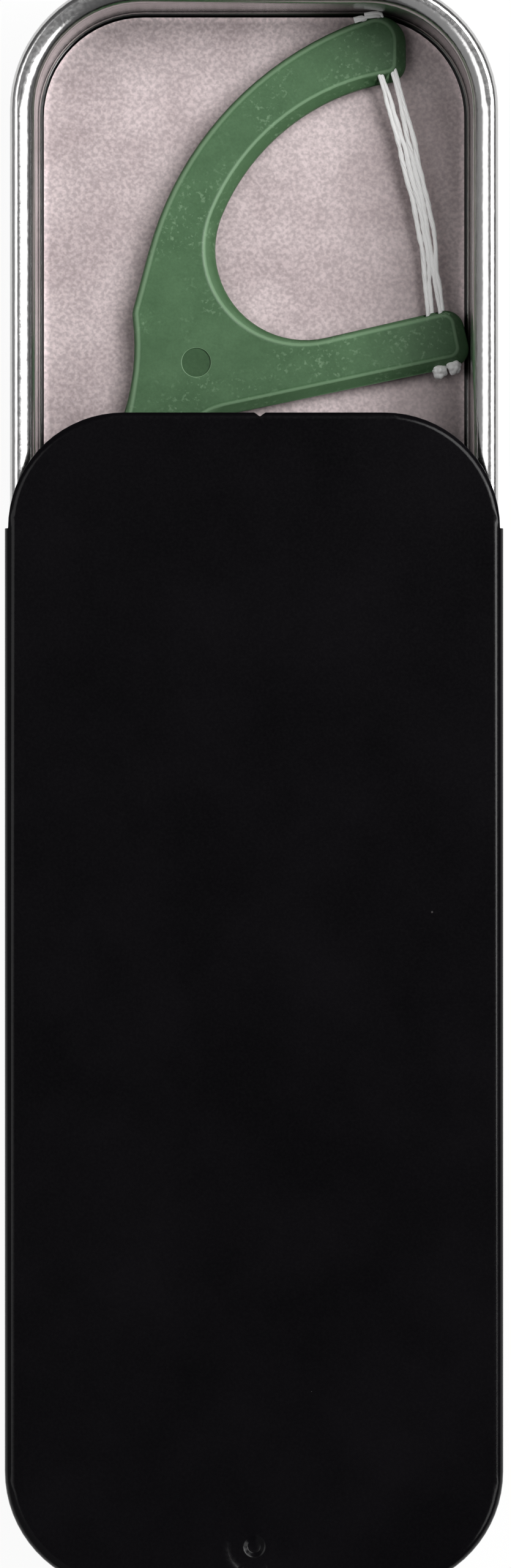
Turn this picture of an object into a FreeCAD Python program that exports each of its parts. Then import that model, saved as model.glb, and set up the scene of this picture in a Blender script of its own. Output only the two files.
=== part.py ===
import FreeCAD, Part
import math
import os

# A slide-lid tin holding one floss pick, in millimetres and degrees.
# The tin stands on its underside with +Z up and its long side along Y.
# The origin is the centre of the underside. The lid is part way open towards -Y.

# Sheet metal of the tin and its lid, with the flat strips in a square bend
sheet = 0.25
bend_strips = 3

# Tin base
tin_height = 11.25
corner_radius = 9.0
floor_bend_radius = 0.4
rim_bend_radius = 0.35
rim_flat = 0.65
hem_radius = 0.5
hem_return = 0.35

# Slide lid
lid_fit_gap = 0.1
lid_corner_ease = 0.9
rail_bend_radius = 0.45
rail_curl_radius = 0.175
rail_leg = 0.35
rail_under_gap = 0.15
front_turn = 45.0
notch_depth = 0.3
notch_width = 0.8
notch_offset = 0.4
lid_open = 30.0

# Thumb dimple of the lid: a shallow dish with a pit in it
dimple_setback = 3.0
dish_radius = 2.3
dish_depth = 0.2
dish_bend_radius = 1.0
pit_radius = 0.83
pit_depth = 0.2
pit_bend_radius = 0.15
dimple_rim_gap = 0.1

# Room round the pick inside the tin
pick_wall_gap = 0.1
pick_back_room = 3.25
pick_head_gap = 0.18
pick_tip_room = 3.97
pick_floor_gap = 0.1

# Bow of the pick. Its small inner arc is centred on the pick's own origin.
pick_thickness = 2.2
pick_bevel = 0.6
bow_radius = 6.22
bow_axis_angle = -22.6
upper_arm_radius = 15.1
upper_arm_end_angle = 94.9
upper_arm_cut_angle = 90.0
spine_radius = 23.25
spine_axis_angle = -27.8
spine_width = 3.87
lower_arm_angle = 13.0
lower_arm_taper = 1.2
lower_arm_reach = 9.44
lower_arm_end_width = 3.98
arm_corner_radius = 1.3
upper_outer_corner_radius = 1.9

# Handle of the pick. A lean is how far it turns from straight down towards -X.
shoulder_angle = 165.0
shoulder_length = 4.45
shoulder_round = 1.5
neck_radius = 15.2
neck_start_lean = -8.5
neck_end_lean = 24.0
armpit_fillet = 3.0
handle_width = 5.05
grip_radius = 24.0
grip_end_lean = -4.0
grip_length = 17.5

# Toothpick end, section by section away from the grip
tip_distances = [0.0, 3.5, 8.0, 14.0]
tip_widths = [handle_width, 3.4, 2.2, 1.2]
tip_thicknesses = [pick_thickness, 2.0, 1.6, 1.0]
tip_bevels = [pick_bevel, 0.5, 0.42, 0.3]

# Ejector mark and thumb grooves
ejector_left = 7.53
ejector_drop = 7.77
ejector_radius = 0.97
ejector_depth = 0.15
groove_count = 6
groove_pitch = 1.9
groove_start = 4.0
groove_radius = 0.9
groove_depth = 0.22

# Two floss strands, moulded into both arms
floss_diameter = 0.55
floss_level = 1.6
floss_spacing = 0.85
floss_lower_setback = 1.5
floss_upper_setback = 0.9
floss_upper_angle = 105.0
floss_upper_run = 10.5
floss_ease = 1.8
floss_lower_tail = 0.8
floss_upper_tail = 0.12

# Part of the floss's shorter run that the arc in its span takes up
arc_run_share = 0.45
# How far a cut runs past the face that it opens
overrun = 0.5
# Points nearer than this are the same point
same_point = 0.001

up = FreeCAD.Vector(0, 0, 1)
square = 90.0
half_turn = 2 * square
half_sheet = sheet / 2


def direction(angle):
    turn = math.radians(angle)
    return FreeCAD.Vector(math.cos(turn), math.sin(turn), 0)


def polar(centre, radius, angle):
    return centre + direction(angle) * radius


def arc_about(centre, radius, start_angle, end_angle):
    middle_angle = (start_angle + end_angle) / 2
    points = [polar(centre, radius, angle) for angle in (start_angle, middle_angle, end_angle)]
    return Part.Arc(*points).toShape()


def angle_of(vector):
    return math.degrees(math.atan2(vector.y, vector.x))


# Distance from a point along a direction to the far side of a circle
def run_to_circle(point, along, centre, radius):
    to_centre = centre - point
    nearest = to_centre.dot(along)
    return nearest + math.sqrt(radius ** 2 - to_centre.dot(to_centre) + nearest ** 2)


# Closed outline of a rectangle grown by a radius, centred on the origin
def rounded_rectangle(core_width, core_height, radius):
    half_width = core_width / 2
    half_height = core_height / 2
    corners = [
        FreeCAD.Vector(half_width, -half_height, 0),
        FreeCAD.Vector(half_width, half_height, 0),
        FreeCAD.Vector(-half_width, half_height, 0),
        FreeCAD.Vector(-half_width, -half_height, 0),
    ]
    edges = []
    for index, corner in enumerate(corners):
        outward = (index - 1) * square
        following = corners[(index + 1) % len(corners)]
        side = direction(outward + square) * radius
        edges.append(arc_about(corner, radius, outward, outward + square))
        edges.append(Part.makeLine(corner + side, following + side))
    return Part.Wire(edges)


# Section of a bent sheet along its middle line, standing in the XZ plane.
# A move is either a straight length or an inside radius with a turn, left being positive.
# A bend is a few flat strips, which keeps the round corners of the tin light.
def bent_sheet(start, moves):
    heading = 0
    point = start
    side = direction(heading + square) * half_sheet
    left_points = [point + side]
    right_points = [point - side]
    for move in moves:
        if isinstance(move, tuple):
            inside_radius, turn = move
            sign = math.copysign(1, turn)
            middle_radius = inside_radius + half_sheet
            centre = polar(point, sign * middle_radius, heading + square)
            strips = max(1, round(bend_strips * abs(turn) / square))
            for strip in range(1, strips + 1):
                spoke = direction(heading - sign * square + turn * strip / strips)
                left_points.append(centre + spoke * (middle_radius - sign * half_sheet))
                right_points.append(centre + spoke * (middle_radius + sign * half_sheet))
            point = centre + spoke * middle_radius
            heading = heading + turn
            side = direction(heading + square) * half_sheet
        else:
            point = polar(point, move, heading)
            left_points.append(point + side)
            right_points.append(point - side)
    outline = Part.makePolygon(left_points + right_points[::-1], True)
    return Part.Face(outline).rotated(FreeCAD.Vector(), FreeCAD.Vector(1, 0, 0), square)


# The same section, looking outwards from a corner's axis
def placed(section, axis_point, outward):
    return section.rotated(FreeCAD.Vector(), up, outward).translated(axis_point)


def straight_side(section, start, outward, length):
    return placed(section, start, outward).extrude(direction(outward + square) * length)


def round_corner(section, axis_point, outward):
    return placed(section, axis_point, outward).revolve(axis_point, up, square)


def joined(pieces):
    return pieces[0].multiFuse(pieces[1:]).removeSplitter()


def lean_side(lean):
    return direction(-lean)


def lean_along(lean):
    return direction(-lean - square)


# Key points of the pick
bow_centre = FreeCAD.Vector()
bow_axis = direction(bow_axis_angle)
bow_join_angle = bow_axis_angle + half_turn
upper_centre = bow_centre + bow_axis * (upper_arm_radius - bow_radius)
spine_centre = polar(bow_centre, spine_radius - bow_radius - spine_width, spine_axis_angle)
upper_inner_end = polar(upper_centre, upper_arm_radius, upper_arm_end_angle)
upper_cut = direction(upper_arm_cut_angle)
upper_cut_run = run_to_circle(upper_inner_end, upper_cut, spine_centre, spine_radius)
upper_outer_end = upper_inner_end + upper_cut * upper_cut_run

lower_along = direction(lower_arm_angle)
lower_across = direction(lower_arm_angle - square)
lower_inner_start = bow_centre + lower_across * bow_radius
lower_inner_end = lower_inner_start + lower_along * lower_arm_reach
lower_outer_end = lower_inner_end + lower_across * lower_arm_end_width

shoulder_start = polar(spine_centre, spine_radius, shoulder_angle)
shoulder_end = shoulder_start + direction(shoulder_angle + square) * shoulder_length
neck_centre = shoulder_end - lean_side(neck_start_lean) * neck_radius
neck_left_end = neck_centre + lean_side(neck_end_lean) * neck_radius
neck_right_radius = neck_radius + handle_width
underside_along = direction(lower_arm_angle - lower_arm_taper)
taper_slope = math.tan(math.radians(lower_arm_taper))
underside_run = run_to_circle(lower_outer_end, underside_along, neck_centre, neck_right_radius)
armpit = lower_outer_end + underside_along * underside_run
armpit_angle = angle_of(armpit - neck_centre)

grip_centre = neck_left_end + lean_side(neck_end_lean) * grip_radius
grip_side = lean_side(grip_end_lean)
grip_along = lean_along(grip_end_lean)
grip_left_start = grip_centre - grip_side * grip_radius
grip_right_start = grip_left_start + grip_side * handle_width
grip_left_end = grip_left_start + grip_along * grip_length
grip_right_end = grip_right_start + grip_along * grip_length
grip_end = (grip_left_end + grip_right_end) / 2


# Upright edges of a shape that stand on one point of its plan
def edges_standing_on(shape, point):
    found = []
    for edge in shape.Edges:
        plan = [FreeCAD.Vector(vertex.X, vertex.Y, 0) for vertex in edge.Vertexes]
        if len(plan) == 2 and all(end.isEqual(point, same_point) for end in plan):
            found.append(edge)
    return found


# Edges round a shape's flat top and bottom, without those over one point of its plan
def level_edges_except(shape, point):
    found = []
    for face in shape.Faces:
        if face.BoundBox.ZLength < same_point:
            for edge in face.Edges:
                middle = edge.CenterOfMass
                if not FreeCAD.Vector(middle.x, middle.y, 0).isEqual(point, same_point):
                    found.append(edge)
    return found


def build_pick_blank():
    outline = [
        arc_about(upper_centre, upper_arm_radius, upper_arm_end_angle, bow_join_angle),
        arc_about(bow_centre, bow_radius, bow_join_angle, lower_arm_angle + 3 * square),
        Part.makeLine(lower_inner_start, lower_inner_end),
        Part.makeLine(lower_inner_end, lower_outer_end),
        Part.makeLine(lower_outer_end, armpit),
        arc_about(neck_centre, neck_right_radius, armpit_angle, -neck_end_lean),
        arc_about(
            grip_centre,
            grip_radius - handle_width,
            half_turn - neck_end_lean,
            half_turn - grip_end_lean,
        ),
        Part.makeLine(grip_right_start, grip_right_end),
        Part.makeLine(grip_right_end, grip_left_end),
        Part.makeLine(grip_left_end, grip_left_start),
        arc_about(grip_centre, grip_radius, half_turn - grip_end_lean, half_turn - neck_end_lean),
        arc_about(neck_centre, neck_radius, -neck_end_lean, -neck_start_lean),
        Part.makeLine(shoulder_end, shoulder_start),
        arc_about(spine_centre, spine_radius, shoulder_angle, angle_of(upper_outer_end - spine_centre)),
        Part.makeLine(upper_outer_end, upper_inner_end),
    ]
    blank = Part.Face(Part.Wire(outline)).extrude(up * pick_thickness)
    corners = [
        (upper_inner_end, arm_corner_radius),
        (upper_outer_end, upper_outer_corner_radius),
        (lower_inner_end, arm_corner_radius),
        (lower_outer_end, arm_corner_radius),
        (armpit, armpit_fillet),
        (shoulder_end, shoulder_round),
    ]
    for corner, radius in corners:
        blank = blank.makeFillet(radius, edges_standing_on(blank, corner))
    return blank.makeChamfer(pick_bevel, level_edges_except(blank, grip_end))


# Eight-sided section of the toothpick, standing across the handle
def bevelled_section(middle, width, thickness, bevel):
    half_width = width / 2
    half_height = thickness / 2
    corners = []
    for x_sign, y_sign in ((1, -1), (1, 1), (-1, 1), (-1, -1)):
        beside = (x_sign * half_width, y_sign * (half_height - bevel))
        over = (x_sign * (half_width - bevel), y_sign * half_height)
        corners += [beside, over] if x_sign == y_sign else [over, beside]
    points = [middle + grip_side * across + up * height for across, height in corners]
    return Part.makePolygon(points, True)


def build_toothpick():
    sections = []
    for distance, width, thickness, bevel in zip(
        tip_distances, tip_widths, tip_thicknesses, tip_bevels
    ):
        middle = grip_end + grip_along * distance + up * (pick_thickness / 2)
        sections.append(bevelled_section(middle, width, thickness, bevel))
    return Part.makeLoft(sections, True, True)


def build_thumb_grooves():
    grooves = []
    length = handle_width + 2 * overrun
    for index in range(groove_count):
        station = grip_left_start + grip_along * (groove_start + index * groove_pitch)
        for height in (pick_thickness + groove_radius - groove_depth, groove_depth - groove_radius):
            start = station - grip_side * overrun + up * height
            grooves.append(Part.makeCylinder(groove_radius, length, start, grip_side))
    return grooves


def build_pick_handle(strands):
    mark_floor = FreeCAD.Vector(-ejector_left, -ejector_drop, pick_thickness - ejector_depth)
    ejector_mark = Part.makeCylinder(ejector_radius, ejector_depth + overrun, mark_floor)
    handle = joined([build_pick_blank(), build_toothpick()])
    return handle.cut([ejector_mark] + build_thumb_grooves() + strands)


# Straight runs between the points of a route, joined by arcs that reach along both runs
def tangent_route(points, reaches):
    edges = []
    radii = []
    start = points[0]
    for before, point, after, reach in zip(points, points[1:], points[2:], reaches):
        arriving = (point - before).normalize()
        leaving = (after - point).normalize()
        half_bend = arriving.getAngle(leaving) / 2
        radius = reach / math.tan(half_bend)
        inwards = (leaving - arriving).normalize()
        middle = point + inwards * (radius / math.cos(half_bend) - radius)
        arc_start = point - arriving * reach
        arc_end = point + leaving * reach
        edges.append(Part.makeLine(start, arc_start))
        edges.append(Part.Arc(arc_start, middle, arc_end).toShape())
        radii.append(radius)
        start = arc_end
    edges.append(Part.makeLine(start, points[-1]))
    return Part.Wire(edges), radii


# A strand from its tail under the lower arm to its tail over the upper arm
def build_floss_strand(name, back_from_ends):
    along_arm = lower_arm_reach - floss_lower_setback - back_from_ends
    low = lower_inner_start + lower_along * along_arm
    to_underside = lower_outer_end - low
    arm_width = to_underside.dot(lower_across) - to_underside.dot(lower_along) * taper_slope
    low_tail = low + lower_across * (arm_width + floss_lower_tail)
    low_bend = low - lower_across * floss_ease
    arm_turn = math.degrees((floss_upper_setback + back_from_ends) / upper_arm_radius)
    high = polar(upper_centre, upper_arm_radius, upper_arm_end_angle + arm_turn)
    high_along = direction(floss_upper_angle)
    arm_run = run_to_circle(high, high_along, spine_centre, spine_radius)
    high_tail = high + high_along * (arm_run + floss_upper_tail)
    middle = high - high_along * floss_upper_run
    points = [point + up * floss_level for point in (low_tail, low_bend, middle, high_tail)]
    middle_reach = arc_run_share * (middle - low_bend).Length
    route, radii = tangent_route(points, [floss_ease, middle_reach])
    radius = floss_diameter / 2
    profile = Part.Wire(Part.makeCircle(radius, points[0], points[1] - points[0]))
    strand = route.makePipeShell([profile], True, False)
    ideal = math.pi * radius ** 2 * route.Length
    print(name, "arc radii", [round(value, 1) for value in radii])
    print(name, "length", round(route.Length, 2), "volume ratio", round(strand.Volume / ideal, 4))
    return strand


# The pick lies on the tin's floor, which is made to its length and width
strands = {
    "floss_strand_outer": build_floss_strand("floss_strand_outer", 0),
    "floss_strand_inner": build_floss_strand("floss_strand_inner", floss_spacing),
}
handle = build_pick_handle(list(strands.values()))
pick_box = Part.makeCompound([handle] + list(strands.values())).optimalBoundingBox(False, False)
inner_width = pick_box.XLength + pick_wall_gap + pick_back_room
inner_length = pick_box.YLength + pick_head_gap + pick_tip_room
pick_place = FreeCAD.Vector(
    inner_width / 2 - pick_wall_gap - pick_box.XMax,
    inner_length / 2 - pick_head_gap - pick_box.YMax,
    sheet + pick_floor_gap,
)

rim_width = rim_bend_radius + sheet + rim_flat + hem_radius
tin_width = inner_width + 2 * rim_width
tin_length = inner_length + 2 * rim_width
hem_bottom = tin_height - 2 * hem_radius

lid_margin = lid_fit_gap + sheet
lid_width = tin_width + 2 * lid_margin
lid_length = tin_length + 2 * lid_margin
lid_corner_radius = corner_radius - lid_corner_ease
lid_top = tin_height + dimple_rim_gap + pit_depth + dish_depth + sheet


def build_tin_base():
    floor_radius = corner_radius - rim_width - floor_bend_radius
    across = tin_width - 2 * corner_radius
    along = tin_length - 2 * corner_radius
    wall_run = tin_height - 2 * sheet - floor_bend_radius - rim_bend_radius
    section = bent_sheet(
        FreeCAD.Vector(floor_radius, half_sheet, 0),
        [
            (floor_bend_radius, square),
            wall_run,
            (rim_bend_radius, -square),
            rim_flat,
            (hem_radius - sheet, -half_turn),
            hem_return,
        ],
    )
    floor = Part.Face(rounded_rectangle(across, along, floor_radius)).extrude(up * sheet)
    corners = [(1, -1), (1, 1), (-1, 1), (-1, -1)]
    pieces = [floor]
    for index, (x_sign, y_sign) in enumerate(corners):
        outward = index * square
        axis_point = FreeCAD.Vector(x_sign * across / 2, y_sign * along / 2, 0)
        side_length = along if index % 2 == 0 else across
        pieces.append(straight_side(section, axis_point, outward, side_length))
        pieces.append(round_corner(section, axis_point, outward - square))
    return joined(pieces)


# Rise of an S bend with no straight between its two arcs, as its angle and its run
def s_bend(inside_radius, rise):
    middle_radius = inside_radius + half_sheet
    angle = math.acos(1 - rise / (2 * middle_radius))
    return math.degrees(angle), 2 * middle_radius * math.sin(angle)


def build_dimple(centre):
    dish_angle, dish_slope = s_bend(dish_bend_radius, dish_depth)
    pit_angle, pit_slope = s_bend(pit_bend_radius, pit_depth)
    section = bent_sheet(
        FreeCAD.Vector(0, lid_top - half_sheet - dish_depth - pit_depth, 0),
        [
            pit_radius - pit_slope,
            (pit_bend_radius, pit_angle),
            (pit_bend_radius, -pit_angle),
            dish_radius - dish_slope - pit_radius,
            (dish_bend_radius, dish_angle),
            (dish_bend_radius, -dish_angle),
        ],
    )
    return placed(section, centre, 0).revolve(centre, up, 2 * half_turn)


def build_slide_lid():
    bend_outside = rail_bend_radius + sheet
    front_outside = bend_outside * math.sin(math.radians(front_turn))
    flat_radius = lid_corner_radius - bend_outside
    back = -lid_length / 2 - lid_open
    front = lid_length / 2 - lid_open
    corner_x = lid_width / 2 - lid_corner_radius
    back_y = back + lid_corner_radius
    front_y = front - front_outside - flat_radius
    start = FreeCAD.Vector(flat_radius, lid_top - half_sheet, 0)
    rail_drop = lid_top - sheet - rail_bend_radius - (hem_bottom - rail_under_gap + rail_curl_radius)
    lip_bend = (rail_bend_radius, -front_turn)
    rest_of_bend = (rail_bend_radius, front_turn - square)
    lip = bent_sheet(start, [lip_bend])
    rail = bent_sheet(start, [lip_bend, rest_of_bend, rail_drop, (rail_curl_radius, -square), rail_leg])

    plate = Part.Face(rounded_rectangle(2 * corner_x, front_y - back_y, flat_radius))
    plate = plate.extrude(up * sheet)
    plate.translate(FreeCAD.Vector(0, (front_y + back_y) / 2, lid_top - sheet))
    dimple_centre = FreeCAD.Vector(0, back + dimple_setback, 0)
    dimple_hole = Part.makeCylinder(dish_radius, lid_top + overrun, dimple_centre)

    back_right = FreeCAD.Vector(corner_x, back_y, 0)
    back_left = FreeCAD.Vector(-corner_x, back_y, 0)
    front_right = FreeCAD.Vector(corner_x, front_y, 0)
    front_left = FreeCAD.Vector(-corner_x, front_y, 0)
    lid = joined(
        [
            plate.cut(dimple_hole),
            build_dimple(dimple_centre),
            straight_side(rail, back_right, 0, front_y - back_y),
            round_corner(lip, front_right, 0),
            straight_side(lip, front_right, square, 2 * corner_x),
            round_corner(lip, front_left, square),
            straight_side(rail, front_left, half_turn, front_y - back_y),
            round_corner(rail, back_left, half_turn),
            straight_side(rail, back_left, -square, 2 * corner_x),
            round_corner(rail, back_right, -square),
        ]
    )
    return lid.cut(build_notch(front))


# A small V in the middle of the lid's front edge
def build_notch(front):
    depth = notch_depth + overrun
    half_width = notch_width / 2 * depth / notch_depth
    corners = [
        FreeCAD.Vector(notch_offset, front - notch_depth, 0),
        FreeCAD.Vector(notch_offset + half_width, front + overrun, 0),
        FreeCAD.Vector(notch_offset - half_width, front + overrun, 0),
    ]
    outline = Part.makePolygon(corners, True)
    return Part.Face(outline).extrude(up * (lid_top + overrun))


nodes = {"tin_base": build_tin_base(), "slide_lid": build_slide_lid()}
for name, shape in [("pick_handle", handle)] + list(strands.items()):
    nodes[name] = shape.translated(pick_place)

os.makedirs("parts", exist_ok=True)
for name, shape in nodes.items():
    solid = shape.Solids[0]
    print(name, "solids", len(shape.Solids), "valid", shape.isValid(), "volume", round(solid.Volume, 2))
    solid.exportStep(f"parts/{name}.step")
print("tin", round(tin_width, 2), round(tin_length, 2), "lid", round(lid_width, 2), round(lid_length, 2))
print("pick place", pick_place, "inside", round(inner_width, 2), round(inner_length, 2))
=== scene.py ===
import math

import bmesh
import bpy
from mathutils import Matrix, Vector


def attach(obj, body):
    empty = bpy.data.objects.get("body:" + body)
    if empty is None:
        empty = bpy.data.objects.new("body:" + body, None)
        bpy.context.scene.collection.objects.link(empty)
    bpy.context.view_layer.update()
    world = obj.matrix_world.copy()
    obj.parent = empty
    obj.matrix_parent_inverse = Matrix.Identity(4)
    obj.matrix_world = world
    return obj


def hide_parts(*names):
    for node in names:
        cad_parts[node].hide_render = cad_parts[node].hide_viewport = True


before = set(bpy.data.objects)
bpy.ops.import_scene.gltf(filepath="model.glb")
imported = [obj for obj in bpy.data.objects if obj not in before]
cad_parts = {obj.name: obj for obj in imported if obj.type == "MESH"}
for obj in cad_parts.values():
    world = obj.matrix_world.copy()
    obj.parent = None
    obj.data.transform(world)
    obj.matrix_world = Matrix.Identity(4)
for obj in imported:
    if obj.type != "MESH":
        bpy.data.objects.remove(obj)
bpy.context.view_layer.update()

millimetre = 0.001
print("frame loaded:", ", ".join(sorted(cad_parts)))


# Node helpers

def newMaterial(name):
    material = bpy.data.materials.new(name)
    material.use_nodes = True
    nodes = material.node_tree.nodes
    return material, material.node_tree, nodes["Principled BSDF"]


# Links a socket to another one, or sets its plain value
def feed(tree, socket, value):
    if isinstance(value, bpy.types.NodeSocket):
        tree.links.new(value, socket)
    else:
        socket.default_value = value


def addNode(tree, kind, settings=None, **inputs):
    node = tree.nodes.new(kind)
    for key, value in (settings or {}).items():
        setattr(node, key, value)
    for key, value in inputs.items():
        feed(tree, node.inputs[key.replace("_", " ")], value)
    return node


def maths(tree, operation, first, second=0.0, third=0.0):
    node = addNode(tree, "ShaderNodeMath", {"operation": operation})
    for socket, value in zip(node.inputs, (first, second, third)):
        feed(tree, socket, value)
    return node.outputs[0]


noiseTurn = (0.7, 0.5, 0.3)   # keeps flat faces off the noise's own grid


def objectNoise(tree, scale, detail=2.0, roughness=0.5, distortion=0.0):
    place = addNode(tree, "ShaderNodeTexCoord")
    turned = addNode(tree, "ShaderNodeMapping", Vector=place.outputs["Object"], Rotation=noiseTurn)
    return addNode(tree, "ShaderNodeTexNoise", Vector=turned.outputs[0], Scale=scale, Detail=detail,
                   Roughness=roughness, Distortion=distortion).outputs["Fac"]


def colourRamp(tree, factor, stops):
    ramp = addNode(tree, "ShaderNodeValToRGB", Fac=factor)
    elements = ramp.color_ramp.elements
    while len(elements) < len(stops):
        elements.new(0.5)
    for element, (place, colour) in zip(elements, stops):
        element.position = place
        element.color = (*colour, 1.0)
    return ramp.outputs["Color"]


def valueRange(tree, factor, low, high, fromLow=0.3, fromHigh=0.7):
    node = addNode(tree, "ShaderNodeMapRange", Value=factor, From_Min=fromLow, From_Max=fromHigh,
                   To_Min=low, To_Max=high)
    return node.outputs["Result"]


def mixColours(tree, factor, first, second, blend="MIX"):
    node = addNode(tree, "ShaderNodeMix", {"data_type": "RGBA", "blend_type": blend})
    for index, value in ((0, factor), (6, first), (7, second)):
        feed(tree, node.inputs[index], value)
    return node.outputs[2]


def addBump(tree, height, strength, depth):
    node = addNode(tree, "ShaderNodeBump", Height=height, Strength=strength, Distance=depth)
    return node.outputs["Normal"]


# Sparse flecks: near cell centres of a few chosen cells
def flecks(tree, scale, size, share):
    place = addNode(tree, "ShaderNodeTexCoord")
    cells = addNode(tree, "ShaderNodeTexVoronoi", Vector=place.outputs["Object"], Scale=scale)
    near = maths(tree, "LESS_THAN", cells.outputs["Distance"], size)
    parts = addNode(tree, "ShaderNodeSeparateColor", Color=cells.outputs["Color"])
    return maths(tree, "MULTIPLY", near, maths(tree, "LESS_THAN", parts.outputs["Red"], share))


# Finishes

tinCore = (7.635 * millimetre, 30.745 * millimetre)   # centres of the tin's corner arcs

tinFinish = {
    "floorDark": (0.39, 0.322, 0.327),
    "floorLight": (0.53, 0.451, 0.456),
    "rimDark": (0.53, 0.525, 0.525),
    "rimLight": (0.60, 0.595, 0.59),
    "cloudScale": 170.0,
    "grainScale": 3900.0,
    "waveScale": 700.0,
    "floorRoughness": (0.50, 0.62),
    "rimRoughness": (0.18, 0.24),
    "floorMetal": 0.55,
    "floorTop": (0.2505 * millimetre, 0.254 * millimetre),  # matt below, burnished above
    "creaseShade": 0.012,                                        # painted shade on the line where wall meets floor
    "creaseShadeTop": (0.29 * millimetre, 0.35 * millimetre),
    "wallGlowBand": (6.42 * millimetre, 6.80 * millimetre),   # painted light: bright border of the floor by the wall, measured from the core
    "wallGlow": 1.5,
}


# One number for the matt floor, another for the burnished wall and rim
def byZone(tree, burnished, floorValue, rimValue):
    node = addNode(tree, "ShaderNodeMix", {"data_type": "FLOAT"})
    for index, value in ((0, burnished), (2, floorValue), (3, rimValue)):
        feed(tree, node.inputs[index], value)
    return node.outputs[0]


# How far out a point lies from the tin's core, seen from above
def reachFromCore(tree):
    flat = addNode(tree, "ShaderNodeTexCoord").outputs["Object"]
    steps = (("ABSOLUTE", None), ("SUBTRACT", (*tinCore, 0.0)), ("MAXIMUM", (0.0, 0.0, 0.0)),
             ("MULTIPLY", (1.0, 1.0, 0.0)), ("LENGTH", None))
    for operation, value in steps:
        step = addNode(tree, "ShaderNodeVectorMath", {"operation": operation})
        tree.links.new(flat, step.inputs[0])
        if value:
            step.inputs[1].default_value = value
        flat = step.outputs["Value" if operation == "LENGTH" else "Vector"]
    return flat


def tinplate():
    material, tree, shader = newMaterial("satinTinplate")
    clouds = objectNoise(tree, tinFinish["cloudScale"], 4.0, 0.55)
    grain = objectNoise(tree, tinFinish["grainScale"], 1.0, 0.5, 0.2)
    waves = objectNoise(tree, tinFinish["waveScale"], 1.0, 0.5)
    place = addNode(tree, "ShaderNodeTexCoord")
    height = addNode(tree, "ShaderNodeSeparateXYZ", Vector=place.outputs["Object"]).outputs["Z"]
    burnished = valueRange(tree, height, 0.0, 1.0, *tinFinish["floorTop"])
    floorTone = colourRamp(tree, clouds, [(0.32, tinFinish["floorDark"]), (0.68, tinFinish["floorLight"])])
    speckle = colourRamp(tree, grain, [(0.34, (0.78, 0.78, 0.78)), (0.5, (0.95, 0.95, 0.95)),
                                       (0.68, (1.16, 1.16, 1.16))])
    floorTone = mixColours(tree, 1.0, floorTone, speckle, "MULTIPLY")
    # Painted light thrown down from the polished wall onto the floor's border
    wallGlow = valueRange(tree, reachFromCore(tree), 1.0, tinFinish["wallGlow"], *tinFinish["wallGlowBand"])
    floorTone = mixColours(tree, 1.0, floorTone, wallGlow, "MULTIPLY")
    rimTone = colourRamp(tree, clouds, [(0.3, tinFinish["rimDark"]), (0.7, tinFinish["rimLight"])])
    # Painted shade in the crease at the foot of the wall
    creaseShade = valueRange(tree, height, tinFinish["creaseShade"], 1.0, *tinFinish["creaseShadeTop"])
    rimTone = mixColours(tree, 1.0, rimTone, creaseShade, "MULTIPLY")
    tree.links.new(mixColours(tree, burnished, floorTone, rimTone), shader.inputs["Base Color"])
    floorRough = valueRange(tree, grain, *tinFinish["floorRoughness"])
    rimRough = valueRange(tree, grain, *tinFinish["rimRoughness"])
    tree.links.new(byZone(tree, burnished, floorRough, rimRough), shader.inputs["Roughness"])
    tree.links.new(byZone(tree, burnished, tinFinish["floorMetal"], 1.0), shader.inputs["Metallic"])
    fine = addNode(tree, "ShaderNodeBump", Height=grain, Strength=0.25, Distance=0.02 * millimetre)
    wavy = addNode(tree, "ShaderNodeBump", Height=waves, Strength=0.35, Distance=0.05 * millimetre,
                   Normal=fine.outputs["Normal"])
    tree.links.new(wavy.outputs["Normal"], shader.inputs["Normal"])
    return material


coatFinish = {
    "dark": (0.0015, 0.0013, 0.0018),
    "light": (0.0030, 0.0026, 0.0034),
    "dust": (0.05, 0.047, 0.047, 1.0),
    "dustScale": 260.0,
    "dustSize": 0.018,
    "dustShare": 0.16,
    "cloudScale": 120.0,
    "grainScale": 5200.0,
    "roughness": (0.16, 0.22),
    "specular": 0.13,
}


def blackCoating():
    material, tree, shader = newMaterial("satinBlackCoating")
    clouds = objectNoise(tree, coatFinish["cloudScale"], 3.0, 0.55)
    grain = objectNoise(tree, coatFinish["grainScale"], 2.0, 0.55)
    tone = colourRamp(tree, clouds, [(0.35, coatFinish["dark"]), (0.7, coatFinish["light"])])
    dust = flecks(tree, coatFinish["dustScale"], coatFinish["dustSize"], coatFinish["dustShare"])
    tree.links.new(mixColours(tree, dust, tone, coatFinish["dust"]), shader.inputs["Base Color"])
    low, high = coatFinish["roughness"]
    tree.links.new(valueRange(tree, grain, low, high), shader.inputs["Roughness"])
    tree.links.new(addBump(tree, grain, 0.18, 0.012 * millimetre), shader.inputs["Normal"])
    shader.inputs["Specular IOR Level"].default_value = coatFinish["specular"]
    return material


plasticFinish = {
    "dark": (0.043, 0.106, 0.043),
    "light": (0.063, 0.139, 0.062),
    # painted highlight colour for the rounded edges
    "edge": (0.25, 0.39, 0.24, 1.0),
    "edgeHighlightStrength": 0.55,
    "edgeHighlightBand": (0.62, 0.82, 0.92, 0.985),   # by how far the face looks up
    "fleck": (0.165, 0.27, 0.158, 1.0),
    "cloudScale": 420.0,
    "grainScale": 5600.0,
    "scuffScale": 3000.0,
    "scuffBand": (0.56, 0.72),
    "scuffStrength": 0.6,
    "patchScale": 260.0,
    "patchBand": (0.42, 0.60),
    "roughness": (0.36, 0.48),
    "specular": 0.28,
    "markCentre": (-3.973 * millimetre, 13.777 * millimetre, 0.0),
    "markRadius": 0.97 * millimetre,
    "markTone": (0.50, 0.62, 0.50),
}


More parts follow.
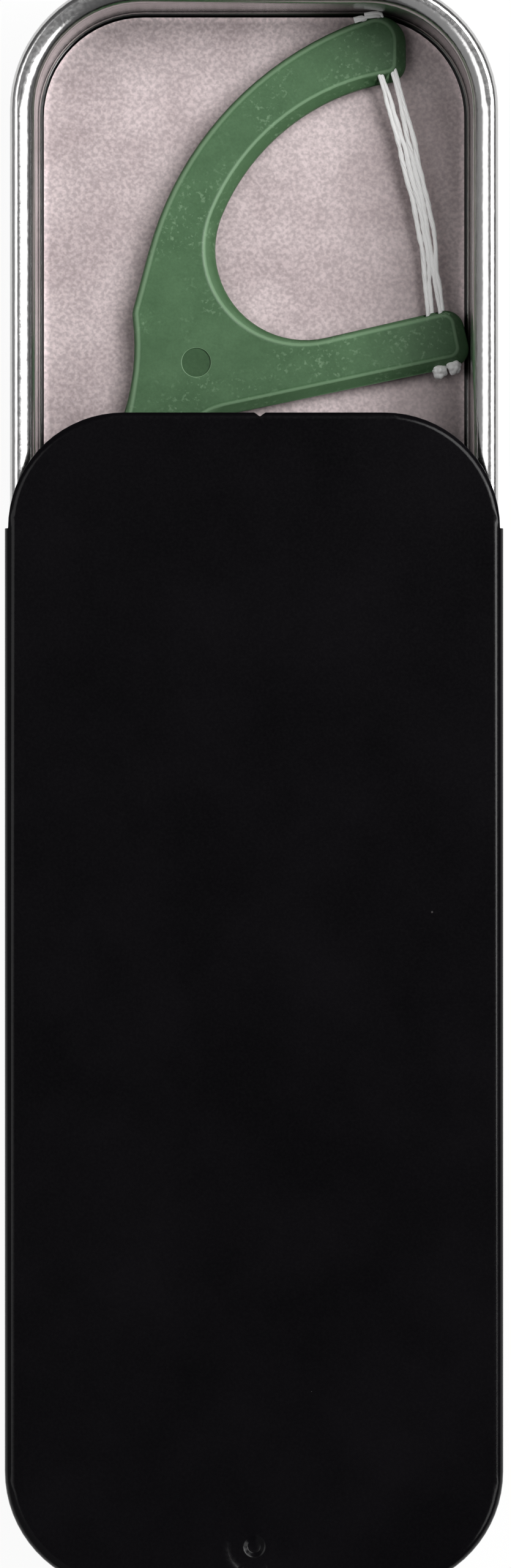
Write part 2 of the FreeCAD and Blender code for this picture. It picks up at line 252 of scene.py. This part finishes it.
# How much a point lies inside the ejector mark
def insideMark(tree):
    place = addNode(tree, "ShaderNodeTexCoord")
    shift = [-value for value in plasticFinish["markCentre"]]
    centred = addNode(tree, "ShaderNodeMapping", Vector=place.outputs["Object"], Location=shift)
    flat = addNode(tree, "ShaderNodeVectorMath", {"operation": "MULTIPLY"})
    tree.links.new(centred.outputs[0], flat.inputs[0])
    flat.inputs[1].default_value = (1.0, 1.0, 0.0)
    reach = addNode(tree, "ShaderNodeVectorMath", {"operation": "LENGTH"})
    tree.links.new(flat.outputs[0], reach.inputs[0])
    radius = plasticFinish["markRadius"]
    return valueRange(tree, reach.outputs["Value"], 1.0, 0.0, radius * 0.96, radius * 1.02)


# Painted highlight: edges turn pale where they begin to round over
def paintedEdgeHighlight(tree):
    place = addNode(tree, "ShaderNodeTexCoord")
    upward = addNode(tree, "ShaderNodeSeparateXYZ", Vector=place.outputs["Normal"]).outputs["Z"]
    none, pale = (0.0,) * 3, (plasticFinish["edgeHighlightStrength"],) * 3
    steep, low, high, flat = plasticFinish["edgeHighlightBand"]
    return colourRamp(tree, upward, [(steep, none), (low, pale), (high, pale), (flat, none)])


def greenPlastic():
    material, tree, shader = newMaterial("frostedGreenPlastic")
    clouds = objectNoise(tree, plasticFinish["cloudScale"], 3.0, 0.6)
    grain = objectNoise(tree, plasticFinish["grainScale"], 2.0, 0.6)
    tone = colourRamp(tree, clouds, [(0.3, plasticFinish["dark"]), (0.7, plasticFinish["light"])])
    speckle = colourRamp(tree, grain, [(0.3, (0.86, 0.86, 0.86)), (0.7, (1.0, 1.0, 1.0))])
    base = mixColours(tree, 1.0, tone, speckle, "MULTIPLY")
    scuffs = objectNoise(tree, plasticFinish["scuffScale"], 2.0, 0.6)
    scuffs = valueRange(tree, scuffs, 0.0, plasticFinish["scuffStrength"], *plasticFinish["scuffBand"])
    patches = objectNoise(tree, plasticFinish["patchScale"], 1.0, 0.5)
    patches = valueRange(tree, patches, 0.0, 1.0, *plasticFinish["patchBand"])
    base = mixColours(tree, maths(tree, "MULTIPLY", scuffs, patches), base, plasticFinish["fleck"])
    # Painted highlight along the rounded edges
    base = mixColours(tree, paintedEdgeHighlight(tree), base, plasticFinish["edge"])
    marked = mixColours(tree, 1.0, base, (*plasticFinish["markTone"], 1.0), "MULTIPLY")
    tree.links.new(mixColours(tree, insideMark(tree), base, marked), shader.inputs["Base Color"])
    low, high = plasticFinish["roughness"]
    tree.links.new(valueRange(tree, grain, low, high), shader.inputs["Roughness"])
    tree.links.new(addBump(tree, grain, 0.2, 0.015 * millimetre), shader.inputs["Normal"])
    shader.inputs["Specular IOR Level"].default_value = plasticFinish["specular"]
    return material


flossFinish = {
    "dark": (0.72, 0.71, 0.71),
    "light": (1.0, 0.995, 0.985),
    "fibreScale": 2.6,
    "roughness": (0.45, 0.62),
    "sheen": 0.35,
}


# Fibre streaks follow each ply's own turn, kept on the mesh as plyPlace
def waxedFloss():
    material, tree, shader = newMaterial("waxedFloss")
    place = addNode(tree, "ShaderNodeAttribute", {"attribute_name": "plyPlace"})
    fibres = addNode(tree, "ShaderNodeTexNoise", Vector=place.outputs["Vector"],
                     Scale=flossFinish["fibreScale"], Detail=3.0, Roughness=0.6).outputs["Fac"]
    tone = colourRamp(tree, fibres, [(0.30, flossFinish["dark"]), (0.46, flossFinish["light"])])
    tree.links.new(tone, shader.inputs["Base Color"])
    low, high = flossFinish["roughness"]
    tree.links.new(valueRange(tree, fibres, low, high), shader.inputs["Roughness"])
    tree.links.new(addBump(tree, fibres, 0.5, 0.03 * millimetre), shader.inputs["Normal"])
    shader.inputs["Sheen Weight"].default_value = flossFinish["sheen"]
    return material


finishes = {
    "tinplate": tinplate(),
    "black_coating": blackCoating(),
    "green_plastic": greenPlastic(),
    "floss": waxedFloss(),
}
print("finishes made:", len(finishes))


# Pieces made from the solids

# A copy of a solid's mesh with its triangles joined
def joinedCopy(node, name):
    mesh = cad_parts[node].data.copy()
    mesh.name = name
    work = bmesh.new()
    work.from_mesh(mesh)
    bmesh.ops.remove_doubles(work, verts=work.verts, dist=1e-7)
    work.to_mesh(mesh)
    work.free()
    if "custom_normal" in mesh.attributes:
        mesh.attributes.remove(mesh.attributes["custom_normal"])
    piece = bpy.data.objects.new(name, mesh)
    bpy.context.scene.collection.objects.link(piece)
    return piece


# Bevel weights by how sharply an edge turns, then smooth faces with large faces kept flat
def roundEdges(piece, width, segments, sharpAngle, weightOf=None, clamp=True):
    work = bmesh.new()
    work.from_mesh(piece.data)
    bmesh.ops.dissolve_limit(work, angle_limit=0.01, verts=work.verts, edges=work.edges)
    layer = work.edges.layers.float.new("bevel_weight_edge")
    for edge in work.edges:
        turn = edge.calc_face_angle(0.0)
        if turn > sharpAngle:
            edge[layer] = weightOf(edge) if weightOf else 1.0
    for face in work.faces:
        face.smooth = True
    work.to_mesh(piece.data)
    work.free()
    bevel = piece.modifiers.new("edgeRound", "BEVEL")
    bevel.width = width
    bevel.segments = segments
    bevel.limit_method = "WEIGHT"
    bevel.use_clamp_overlap = clamp
    bevel.miter_outer = "MITER_ARC"
    weighted = piece.modifiers.new("flatStaysFlat", "WEIGHTED_NORMAL")
    weighted.keep_sharp = True
    weighted.weight = 80


# Turns modifiers into plain mesh
def settle(piece):
    bpy.context.view_layer.update()
    graph = bpy.context.evaluated_depsgraph_get()
    mesh = bpy.data.meshes.new_from_object(piece.evaluated_get(graph), depsgraph=graph)
    mesh.name = piece.name
    piece.modifiers.clear()
    piece.data = mesh


def dress(piece, material, body, node):
    piece.data.materials.clear()
    piece.data.materials.append(material)
    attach(piece, body)
    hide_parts(node)


rimShape = {
    "bendCentre": (7.85 * millimetre, 10.65 * millimetre),
    "ease": 0.45 * millimetre,
}


# Opens the bend between wall and rim to a rounder shoulder
def easeShoulder(piece):
    coreX, coreY = tinCore
    bendOut, bendUp = rimShape["bendCentre"]
    ease = rimShape["ease"]
    for vert in piece.data.vertices:
        reach = Vector((max(abs(vert.co.x) - coreX, 0.0), max(abs(vert.co.y) - coreY, 0.0)))
        inward, rise = bendOut - reach.length, vert.co.z - bendUp
        if rise < -1e-6 or inward < -1e-6:
            continue
        radius = math.hypot(inward, rise)
        out = ease * (1 - inward / radius)
        vert.co.x += math.copysign(out * reach.x / reach.length, vert.co.x)
        vert.co.y += math.copysign(out * reach.y / reach.length, vert.co.y)
        vert.co.z += ease * (rise / radius - 1)


sheetEdge = {"width": 0.05 * millimetre, "segments": 2, "sharp": math.radians(50)}

tin = joinedCopy("tin_base", "tinBase")
easeShoulder(tin)
roundEdges(tin, sheetEdge["width"], sheetEdge["segments"], sheetEdge["sharp"])
settle(tin)
dress(tin, finishes["tinplate"], "base", "tin_base")

lid = joinedCopy("slide_lid", "slideLid")
roundEdges(lid, sheetEdge["width"], sheetEdge["segments"], sheetEdge["sharp"])
settle(lid)
dress(lid, finishes["black_coating"], "lid", "slide_lid")

pickFlank = {
    "chamfer": 0.60 * millimetre,      # of the solid
    "narrow": 0.32 * millimetre,
    "wide": 0.80 * millimetre,
    "narrowDrop": 0.32 * millimetre,
    "wideDrop": 0.95 * millimetre,
    "wideSide": Vector((0.8, -0.6)),
    "fade": (8.0 * millimetre, 12.0 * millimetre),
    "crestStep": 0.11 * millimetre,    # shortest edge left for the round
}


# Gives the head's upper edge a steep narrow round outside and a long slope towards the bow
def slopeFlanks(piece):
    work = bmesh.new()
    work.from_mesh(piece.data)
    top = max(vert.co.z for vert in work.verts)
    chamfer = pickFlank["chamfer"]
    fadeLow, fadeHigh = pickFlank["fade"]
    moves = {}
    for vert in work.verts:
        depth = top - vert.co.z
        slopes = [face.normal for face in vert.link_faces if 0.6 < face.normal.z < 0.8]
        if not slopes or depth > chamfer + 1e-6 or vert.co.y < fadeLow:
            continue
        outward = Vector((sum(slope.x for slope in slopes), sum(slope.y for slope in slopes))).normalized()
        lean = 0.5 + 0.5 * outward.dot(pickFlank["wideSide"])
        lean = lean * lean * (3 - 2 * lean)
        width = pickFlank["narrow"] + (pickFlank["wide"] - pickFlank["narrow"]) * lean
        drop = pickFlank["narrowDrop"] + (pickFlank["wideDrop"] - pickFlank["narrowDrop"]) * lean
        keep = min(max((fadeHigh - vert.co.y) / (fadeHigh - fadeLow), 0.0), 1.0)
        width += (chamfer - width) * keep
        drop += (chamfer - drop) * keep
        inset = 1 - depth / chamfer
        out = (chamfer - width) * inset
        moves[vert] = Vector((vert.co.x + outward.x * out, vert.co.y + outward.y * out,
                              top - drop * depth / chamfer))
    for vert, place in moves.items():
        vert.co = place
    crest = [vert for vert in moves if top - vert.co.z < 1e-6]
    bmesh.ops.remove_doubles(work, verts=crest, dist=pickFlank["crestStep"])
    work.to_mesh(piece.data)
    work.free()
    print("flanks sloped:", len(moves), "points")


pickEdge = {
    "width": 0.22 * millimetre,
    "segments": 4,
    "sharp": math.radians(28),
    "outline": 1.0,
    "seam": 0.7,
    "mark": 0.45,
    "markFrom": Vector((0.0, 8.0, 2.54)) * millimetre,
}

# How far a face looks up: flat, sloped or upright
flatFace, slopedFace, uprightFace = 0.99, (0.3, 0.95), 0.15

# Where the strands pass through the arms, in millimetres
strandHoles = [((13.581, 13.425), (12.692, 17.272)), ((12.748, 13.251), (11.864, 17.081)),
               ((9.571, 33.076), (8.351, 37.628)), ((8.734, 32.929), (7.546, 37.364))]
holeLevel = 1.95 * millimetre
holeReach = 0.45 * millimetre


def nearStrandHole(place):
    if abs(place.z - holeLevel) > holeReach:
        return False
    flat = place.to_2d() / millimetre
    for start, end in strandHoles:
        start, along = Vector(start), Vector(end) - Vector(start)
        share = min(max((flat - start).dot(along) / along.length_squared, -0.2), 1.2)
        if (flat - start - along * share).length < holeReach / millimetre:
            return True
    return False


# Full rounds along the outline, a small one on the ejector mark, none in holes and grooves
def pickEdgeWeight(edge):
    middle = (edge.verts[0].co + edge.verts[1].co) / 2
    if nearStrandHole(middle):
        return 0.0
    steeper, flatter = sorted(abs(face.normal.z) for face in edge.link_faces)
    low, high = slopedFace
    if flatter > flatFace and low < steeper < high:
        return pickEdge["outline"]
    if steeper < uprightFace and low < flatter < high:
        return pickEdge["seam"]
    if middle.y > pickEdge["markFrom"].y and middle.z > pickEdge["markFrom"].z:
        return pickEdge["mark"]
    return 0.0


pick = joinedCopy("pick_handle", "pickHandle")
slopeFlanks(pick)
roundEdges(pick, pickEdge["width"], pickEdge["segments"], pickEdge["sharp"], pickEdgeWeight, False)
settle(pick)
dress(pick, finishes["green_plastic"], "pick", "pick_handle")
print("pieces from solids: tinBase, slideLid, pickHandle")


# Floss strands: plies laid side by side along a route

floss = {
    "plies": 2,
    "plyRadius": 0.175 * millimetre,
    "plySpacing": 0.36 * millimetre,
    "plyTurns": 5.0,
    "sway": 0.26 * millimetre,
    "beadRadius": 0.54 * millimetre,
    "steps": 140,
    "upperEnd": (0.58, 0.80, 0.55),   # share of the length where it draws in, and to what share
    "lowerEnd": (0.12, 0.36, 0.65),
    "wander": 9.0,
    "ripples": 40.0,
    "swell": (0.65, 0.7),
    "rowStep": 5.3,                   # rows of the noise, so that no two runs match
    "heaveRow": 31.7,
    "rippleRow": 63.1,
    "streakRow": 3.0,
    "streakLength": 4.0,
    "lumpScale": 1700.0,
    "lumpMiddle": 0.45,
    "lumpDepth": 0.7,
    "beadStreaks": 900.0,
}

# Route points in millimetres, from the tail under the lower arm to the tail over the upper arm
flossRoutes = {
    "floss_strand_outer": [
        (13.818, 13.526, 1.75), (13.10, 16.2, 1.95), (12.90, 17.5, 1.95), (12.76, 18.6, 1.95),
        (12.42, 20.0, 1.95), (12.17, 23.0, 1.95), (11.30, 27.0, 1.95), (10.45, 30.5, 2.05),
        (9.50, 34.3, 2.30), (8.60, 37.25, 2.0), (8.80, 37.72, 2.2), (8.20, 37.70, 2.4), (7.60, 37.60, 2.4),
    ],
    "floss_strand_inner": [
        (12.807, 13.189, 1.75), (12.25, 16.0, 1.95), (12.02, 17.5, 1.95), (11.93, 19.0, 1.95),
        (11.80, 21.5, 1.95), (11.20, 24.6, 1.95), (10.20, 28.3, 1.95), (9.35, 31.7, 2.05),
        (8.55, 33.9, 2.30), (7.75, 36.85, 2.0), (7.66, 37.45, 2.2), (7.25, 37.42, 2.4), (6.88, 37.30, 2.4),
    ],
}


def routeCurve(name, points):
    data = bpy.data.curves.new(name, "CURVE")
    data.dimensions = "3D"
    spline = data.splines.new("NURBS")
    spline.points.add(len(points) - 1)
    for point, place in zip(spline.points, points):
        point.co = (*(value * millimetre for value in place), 1.0)
    spline.order_u = 3
    spline.use_endpoint_u = True
    spline.resolution_u = 16
    route = bpy.data.objects.new(name, data)
    bpy.context.scene.collection.objects.link(route)
    return route


def strandTree():
    tree = bpy.data.node_groups.new("flossStrand", "GeometryNodeTree")
    face = tree.interface
    face.new_socket("Geometry", in_out="INPUT", socket_type="NodeSocketGeometry")
    for name, kind in (("Plies", "Int"), ("Steps", "Int"), ("Ply radius", "Float"), ("Ply spacing", "Float"),
                       ("Ply turns", "Float"), ("Sway", "Float"), ("Bead radius", "Float"),
                       ("Seed", "Int"), ("Material", "Material")):
        face.new_socket(name, in_out="INPUT", socket_type="NodeSocket" + kind)
    face.new_socket("Geometry", in_out="OUTPUT", socket_type="NodeSocketGeometry")

    given = tree.nodes.new("NodeGroupInput").outputs
    link = tree.links.new

    def sums(operation, *values):
        return maths(tree, operation, *values)

    def vectors(operation, first, second):
        node = addNode(tree, "ShaderNodeVectorMath", {"operation": operation})
        feed(tree, node.inputs[0], first)
        feed(tree, node.inputs[1], second)
        return node.outputs[0]

    def scaled(vector, factor):
        node = addNode(tree, "ShaderNodeVectorMath", {"operation": "SCALE"})
        feed(tree, node.inputs[0], vector)
        feed(tree, node.inputs["Scale"], factor)
        return node.outputs[0]

    def noiseAt(first, second, scale, detail):
        place = addNode(tree, "ShaderNodeCombineXYZ", X=first, Y=second)
        return addNode(tree, "ShaderNodeTexNoise", {"noise_dimensions": "2D"}, Vector=place.outputs[0],
                       Scale=scale, Detail=detail).outputs["Fac"]

    resampled = addNode(tree, "GeometryNodeResampleCurve", Curve=given["Geometry"], Count=given["Steps"])
    copies = addNode(tree, "GeometryNodeDuplicateElements", {"domain": "SPLINE"},
                     Geometry=resampled.outputs[0], Amount=given["Plies"])
    ply = copies.outputs["Duplicate Index"]
    along = tree.nodes.new("GeometryNodeSplineParameter").outputs["Factor"]
    tangent = tree.nodes.new("GeometryNodeInputTangent").outputs[0]
    across = addNode(tree, "ShaderNodeVectorMath", {"operation": "NORMALIZE"})
    link(vectors("CROSS_PRODUCT", tangent, (0.0, 0.0, 1.0)), across.inputs[0])
    raised = vectors("CROSS_PRODUCT", across.outputs[0], tangent)

    # Plies side by side, each wandering a little, closer together near the arms
    upperFrom, upperTo, upperDraw = floss["upperEnd"]
    lowerFrom, lowerTo, lowerDraw = floss["lowerEnd"]
    row = sums("MULTIPLY_ADD", ply, floss["rowStep"], given["Seed"])
    upper = addNode(tree, "ShaderNodeMapRange", {"interpolation_type": "SMOOTHSTEP"}, Value=along,
                    From_Min=upperFrom, From_Max=upperTo, To_Min=1.0, To_Max=upperDraw).outputs[0]
    lower = addNode(tree, "ShaderNodeMapRange", {"interpolation_type": "SMOOTHSTEP"}, Value=along,
                    From_Min=lowerFrom, From_Max=lowerTo, To_Min=lowerDraw, To_Max=1.0).outputs[0]
    close = sums("MULTIPLY", upper, lower)
    middle = sums("MULTIPLY", sums("SUBTRACT", given["Plies"], 1.0), 0.5)
    spread = sums("MULTIPLY", sums("MULTIPLY", sums("SUBTRACT", ply, middle), given["Ply spacing"]), close)
    reach = sums("MULTIPLY", along, floss["wander"])
    swing = sums("MULTIPLY", sums("SUBTRACT", noiseAt(reach, row, 1.0, 1.0), 0.5), given["Sway"])
    lift = noiseAt(reach, sums("ADD", row, floss["heaveRow"]), 1.0, 1.0)
    heave = sums("MULTIPLY", sums("SUBTRACT", lift, 0.5), given["Sway"])
    offset = vectors("ADD", scaled(across.outputs[0], sums("ADD", spread, swing)), scaled(raised, heave))
    laid = addNode(tree, "GeometryNodeSetPosition", Geometry=copies.outputs["Geometry"], Offset=offset)
    least, extra = floss["swell"]
    ripple = noiseAt(sums("MULTIPLY", along, floss["ripples"]), sums("ADD", row, floss["rippleRow"]), 1.0, 1.0)
    swell = sums("MULTIPLY_ADD", ripple, extra, least)
    thick = addNode(tree, "GeometryNodeSetCurveRadius", Curve=laid.outputs[0],
                    Radius=sums("MULTIPLY", swell, sums("SQRT", close)))
    kept = addNode(tree, "GeometryNodeCaptureAttribute", Geometry=thick.outputs[0])
    kept.capture_items.new("FLOAT", "along")
    kept.capture_items.new("FLOAT", "row")
    link(along, kept.inputs["along"])
    link(row, kept.inputs["row"])

    # Each ply is a soft round tube that remembers where on its turn a point lies
    profile = addNode(tree, "GeometryNodeCurvePrimitiveCircle", Resolution=12, Radius=given["Ply radius"])
    around = addNode(tree, "GeometryNodeCaptureAttribute", Geometry=profile.outputs["Curve"])
    around.capture_items.new("FLOAT", "around")
    link(tree.nodes.new("GeometryNodeSplineParameter").outputs["Factor"], around.inputs["around"])
    tubes = addNode(tree, "GeometryNodeCurveToMesh", Curve=kept.outputs[0], Profile_Curve=around.outputs[0])
    for socket in tubes.inputs:
        if socket.name == "Fill Caps":
            socket.default_value = True
        if socket.name == "Scale":
            radius = tree.nodes.new("GeometryNodeInputRadius")
            link(radius.outputs[0], socket)
    turn = sums("MULTIPLY_ADD", kept.outputs["along"], given["Ply turns"], around.outputs["around"])
    angle = sums("MULTIPLY", turn, 2 * math.pi)
    lengthwise = sums("MULTIPLY_ADD", kept.outputs["along"], floss["streakLength"],
                      sums("MULTIPLY", kept.outputs["row"], floss["streakRow"]))
    place = addNode(tree, "ShaderNodeCombineXYZ", X=sums("COSINE", angle), Y=sums("SINE", angle), Z=lengthwise)
    marked = addNode(tree, "GeometryNodeStoreNamedAttribute", {"data_type": "FLOAT_VECTOR"},
                     Geometry=tubes.outputs[0], Name="plyPlace", Value=place.outputs[0])

    # A melted bead on the tail under the lower arm
    ends = addNode(tree, "GeometryNodeCurveEndpointSelection", Start_Size=1, End_Size=0)
    ball = addNode(tree, "GeometryNodeMeshIcoSphere", Radius=given["Bead radius"], Subdivisions=4)
    beads = addNode(tree, "GeometryNodeInstanceOnPoints", Points=resampled.outputs[0],
                    Selection=ends.outputs[0], Instance=ball.outputs["Mesh"])
    solidBeads = addNode(tree, "GeometryNodeRealizeInstances", Geometry=beads.outputs[0])
    where = tree.nodes.new("GeometryNodeInputPosition").outputs[0]
    lumps = addNode(tree, "ShaderNodeTexVoronoi", Vector=where, Scale=floss["lumpScale"]).outputs["Distance"]
    lumpSize = sums("MULTIPLY", sums("SUBTRACT", lumps, floss["lumpMiddle"]), given["Bead radius"])
    outward = tree.nodes.new("GeometryNodeInputNormal").outputs[0]
    lumpy = addNode(tree, "GeometryNodeSetPosition", Geometry=solidBeads.outputs[0],
                    Offset=scaled(outward, sums("MULTIPLY", lumpSize, -floss["lumpDepth"])))
    beadMarked = addNode(tree, "GeometryNodeStoreNamedAttribute", {"data_type": "FLOAT_VECTOR"},
                         Geometry=lumpy.outputs[0], Name="plyPlace", Value=scaled(where, floss["beadStreaks"]))

    joined = tree.nodes.new("GeometryNodeJoinGeometry")
    link(beadMarked.outputs[0], joined.inputs[0])
    link(marked.outputs[0], joined.inputs[0])
    smooth = addNode(tree, "GeometryNodeSetShadeSmooth", Geometry=joined.outputs[0])
    whole = addNode(tree, "GeometryNodeRealizeInstances", Geometry=smooth.outputs[0])
    painted = addNode(tree, "GeometryNodeSetMaterial", Geometry=whole.outputs[0], Material=given["Material"])
    out = tree.nodes.new("NodeGroupOutput")
    link(painted.outputs[0], out.inputs[0])
    return tree


flossTree = strandTree()


def flossStrand(node, name, seed):
    route = routeCurve(name + "Route", flossRoutes[node])
    modifier = route.modifiers.new("flossStrand", "NODES")
    modifier.node_group = flossTree
    values = {
        "Plies": floss["plies"], "Steps": floss["steps"], "Ply radius": floss["plyRadius"],
        "Ply spacing": floss["plySpacing"], "Ply turns": floss["plyTurns"], "Sway": floss["sway"],
        "Bead radius": floss["beadRadius"], "Seed": seed, "Material": finishes["floss"],
    }
    for item in flossTree.interface.items_tree:
        if item.in_out == "INPUT" and item.name in values:
            modifier[item.identifier] = values[item.name]
    bpy.context.view_layer.update()
    graph = bpy.context.evaluated_depsgraph_get()
    mesh = bpy.data.meshes.new_from_object(route.evaluated_get(graph), depsgraph=graph)
    mesh.name = name
    bpy.data.objects.remove(route)
    piece = bpy.data.objects.new(name, mesh)
    bpy.context.scene.collection.objects.link(piece)
    dress(piece, finishes["floss"], "pick", node)
    print(name, "triangles", sum(len(face.vertices) - 2 for face in mesh.polygons))


flossStrand("floss_strand_outer", "flossStrandOuter", 3)
flossStrand("floss_strand_inner", "flossStrandInner", 11)


# Stage, light and camera

stage = {
    "floorSize": 12.0,
    "floorLevel": -0.03 * millimetre,   # just under the tin, so that the two faces stay apart
    "floorColour": (0.93, 0.93, 0.93, 1.0),
    "floorWhite": 0.93,
}


def whiteStage(name):
    material, tree, shader = newMaterial(name)
    shader.inputs["Base Color"].default_value = stage["floorColour"]
    shader.inputs["Roughness"].default_value = 0.9
    shader.inputs["Specular IOR Level"].default_value = 0.0
    seen = tree.nodes.new("ShaderNodeLightPath")
    direct = maths(tree, "MAXIMUM", seen.outputs["Is Camera Ray"], seen.outputs["Is Glossy Ray"])
    through = maths(tree, "MAXIMUM", direct, seen.outputs["Is Transmission Ray"])
    part = maths(tree, "MULTIPLY", through, stage["floorWhite"])
    white = addNode(tree, "ShaderNodeEmission", Strength=1.0)
    mixed = addNode(tree, "ShaderNodeMixShader", Fac=part)
    tree.links.new(shader.outputs[0], mixed.inputs[1])
    tree.links.new(white.outputs[0], mixed.inputs[2])
    tree.links.new(mixed.outputs[0], tree.nodes["Material Output"].inputs["Surface"])
    return material


def buildFloor():
    mesh = bpy.data.meshes.new("floor")
    half = stage["floorSize"] / 2
    level = stage["floorLevel"]
    corners = [(-half, -half, level), (half, -half, level), (half, half, level), (-half, half, level)]
    mesh.from_pydata(corners, [], [(0, 1, 2, 3)])
    mesh.materials.append(whiteStage("paleFloor"))
    floor = bpy.data.objects.new("floor", mesh)
    bpy.context.scene.collection.objects.link(floor)


buildFloor()

lamps = {
    "key": {"aim": (0.40, 0.34, 1.0), "distance": 0.6, "size": 0.30, "watts": 1.75},
    "side": {"aim": (0.74, 0.06, 1.0), "distance": 0.9, "size": 0.36, "watts": 3.9},
    "glint": {"aim": (-0.50, 0.05, 1.0), "distance": 0.9, "size": 0.50, "watts": 1.3},
    "fill": {"aim": (-0.8, -0.4, 0.75), "distance": 0.9, "size": 1.5, "watts": 1.4},
    "kicker": {"aim": (0.9, -0.45, 0.8), "distance": 0.9, "size": 0.4, "watts": 1.6},
}
world = {"colour": (0.11, 0.11, 0.112, 1.0)}


def buildLamp(name, setting):
    data = bpy.data.lights.new(name, "AREA")
    data.shape = "DISK"
    data.size = setting["size"]
    data.energy = setting["watts"]
    lamp = bpy.data.objects.new(name, data)
    target = Vector((0, 0.02, 0))
    towards = Vector(setting["aim"]).normalized()
    lamp.location = target + towards * setting["distance"]
    lamp.rotation_euler = towards.to_track_quat("Z", "Y").to_euler()
    bpy.context.scene.collection.objects.link(lamp)


for lampName, lampSetting in lamps.items():
    buildLamp(lampName, lampSetting)

bpy.context.scene.world = bpy.data.worlds.new("studio")
bpy.context.scene.world.use_nodes = True
bpy.context.scene.world.node_tree.nodes["Background"].inputs["Color"].default_value = world["colour"]

# The picture is 835 by 2560, taken straight from above, 24 of its pixels to a millimetre at the lid's top
shot = {"height": 912.0, "lidTop": 12.0, "centre": (0.10, -15.21), "pixelsPerMm": 24.0, "frameHeight": 2560}
cameraData = bpy.data.cameras.new("camera")
cameraData.sensor_width = 36.0
halfFrame = shot["frameHeight"] / shot["pixelsPerMm"] / 2
cameraData.lens = cameraData.sensor_width / 2 * (shot["height"] - shot["lidTop"]) / halfFrame
camera = bpy.data.objects.new("camera", cameraData)
camera.location = Vector((*shot["centre"], shot["height"])) * millimetre
bpy.context.scene.collection.objects.link(camera)
bpy.context.scene.camera = camera
bpy.context.scene.view_settings.view_transform = "Standard"
print("stage set")
